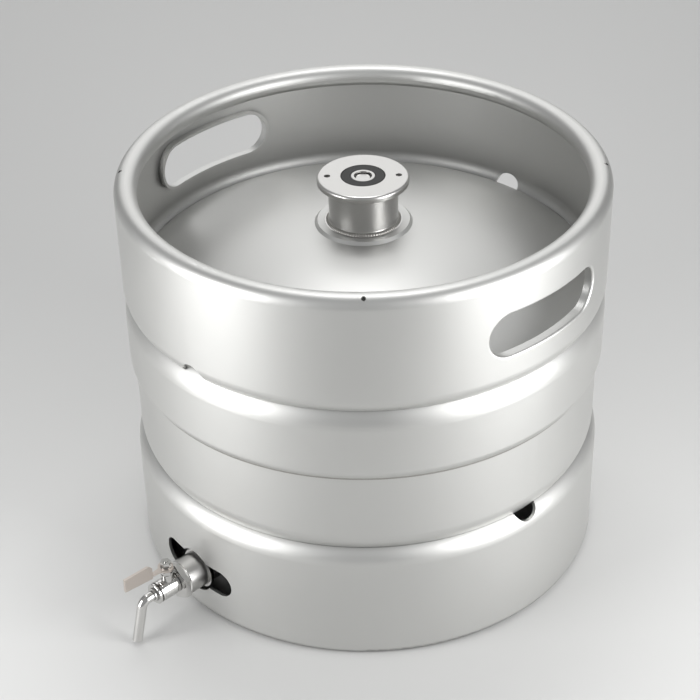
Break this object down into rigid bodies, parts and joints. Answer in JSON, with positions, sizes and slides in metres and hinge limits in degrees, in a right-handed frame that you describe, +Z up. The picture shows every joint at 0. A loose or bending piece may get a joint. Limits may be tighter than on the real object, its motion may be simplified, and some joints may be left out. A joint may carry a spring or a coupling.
{
  "type": "drinks keg with a tap",
  "caption": "Stainless drinks keg with hand slots in its rolled rim, a push-down valve in a raised neck and a small quarter-turn tap with a bent spout low on its side.",
  "frame": {"origin": "where the keg's axis meets the floor that it stands on", "axes": "+Z up along the keg's axis, -Y the front that faces the viewer, the tap 46.6 degrees to the left of it"},
  "size_m": [0.408, 0.408, 0.3505],
  "materials": {
    "satin_steel": "bead-blasted stainless steel",
    "machined_steel": "turned stainless steel",
    "polished_steel": "polished stainless steel",
    "spring_steel": "drawn stainless wire",
    "black_rubber": "moulded black rubber",
    "white_ptfe": "PTFE"
  },
  "bodies": {
    "keg": {"top_chime": "satin_steel", "bottom_chime": "satin_steel", "upper_shell": "satin_steel", "lower_shell": "satin_steel", "keg_neck": "machined_steel", "valve_housing": "machined_steel", "spring_retainer": "machined_steel", "valve_spring": "spring_steel", "outlet_pipe": "machined_steel", "outlet_socket": "machined_steel", "socket_collar": "polished_steel", "seal_washer": "white_ptfe", "hex_bush": "polished_steel", "valve_body": "polished_steel", "seat_rings": "white_ptfe", "stem_packing": "white_ptfe", "gland_nut": "polished_steel", "end_collar": "polished_steel", "spout_ring": "polished_steel", "spout_tube": "polished_steel"},
    "spear": {"face_seal": "black_rubber", "tube_head": "machined_steel", "down_tube": "machined_steel", "poppet_guide": "machined_steel", "poppet_spring": "spring_steel"},
    "poppet": {"beer_poppet": "machined_steel"},
    "lever": {"tap_lever": "satin_steel", "lever_washer": "polished_steel", "lever_nut": "polished_steel", "valve_stem": "polished_steel", "valve_ball": "polished_steel"}
  },
  "joints": [
    {"name": "spear_press", "type": "slide", "parent": "keg", "child": "spear", "axis": [0, 0, -1], "range_m": [0, 0.007], "stiffness_N_per_m": 3000, "springref_m": -0.02, "deforming": ["valve_spring"]},
    {"name": "poppet_press", "type": "slide", "parent": "spear", "child": "poppet", "axis": [0, 0, -1], "range_m": [0, 0.004], "stiffness_N_per_m": 900, "springref_m": -0.006, "deforming": ["poppet_spring"]},
    {"name": "tap_lever_turn", "type": "hinge", "parent": "keg", "child": "lever", "pos_m": [-0.17002, -0.16078, 0.06], "axis": [0, 0, 1], "range_deg": [0, 90]}
  ]
}
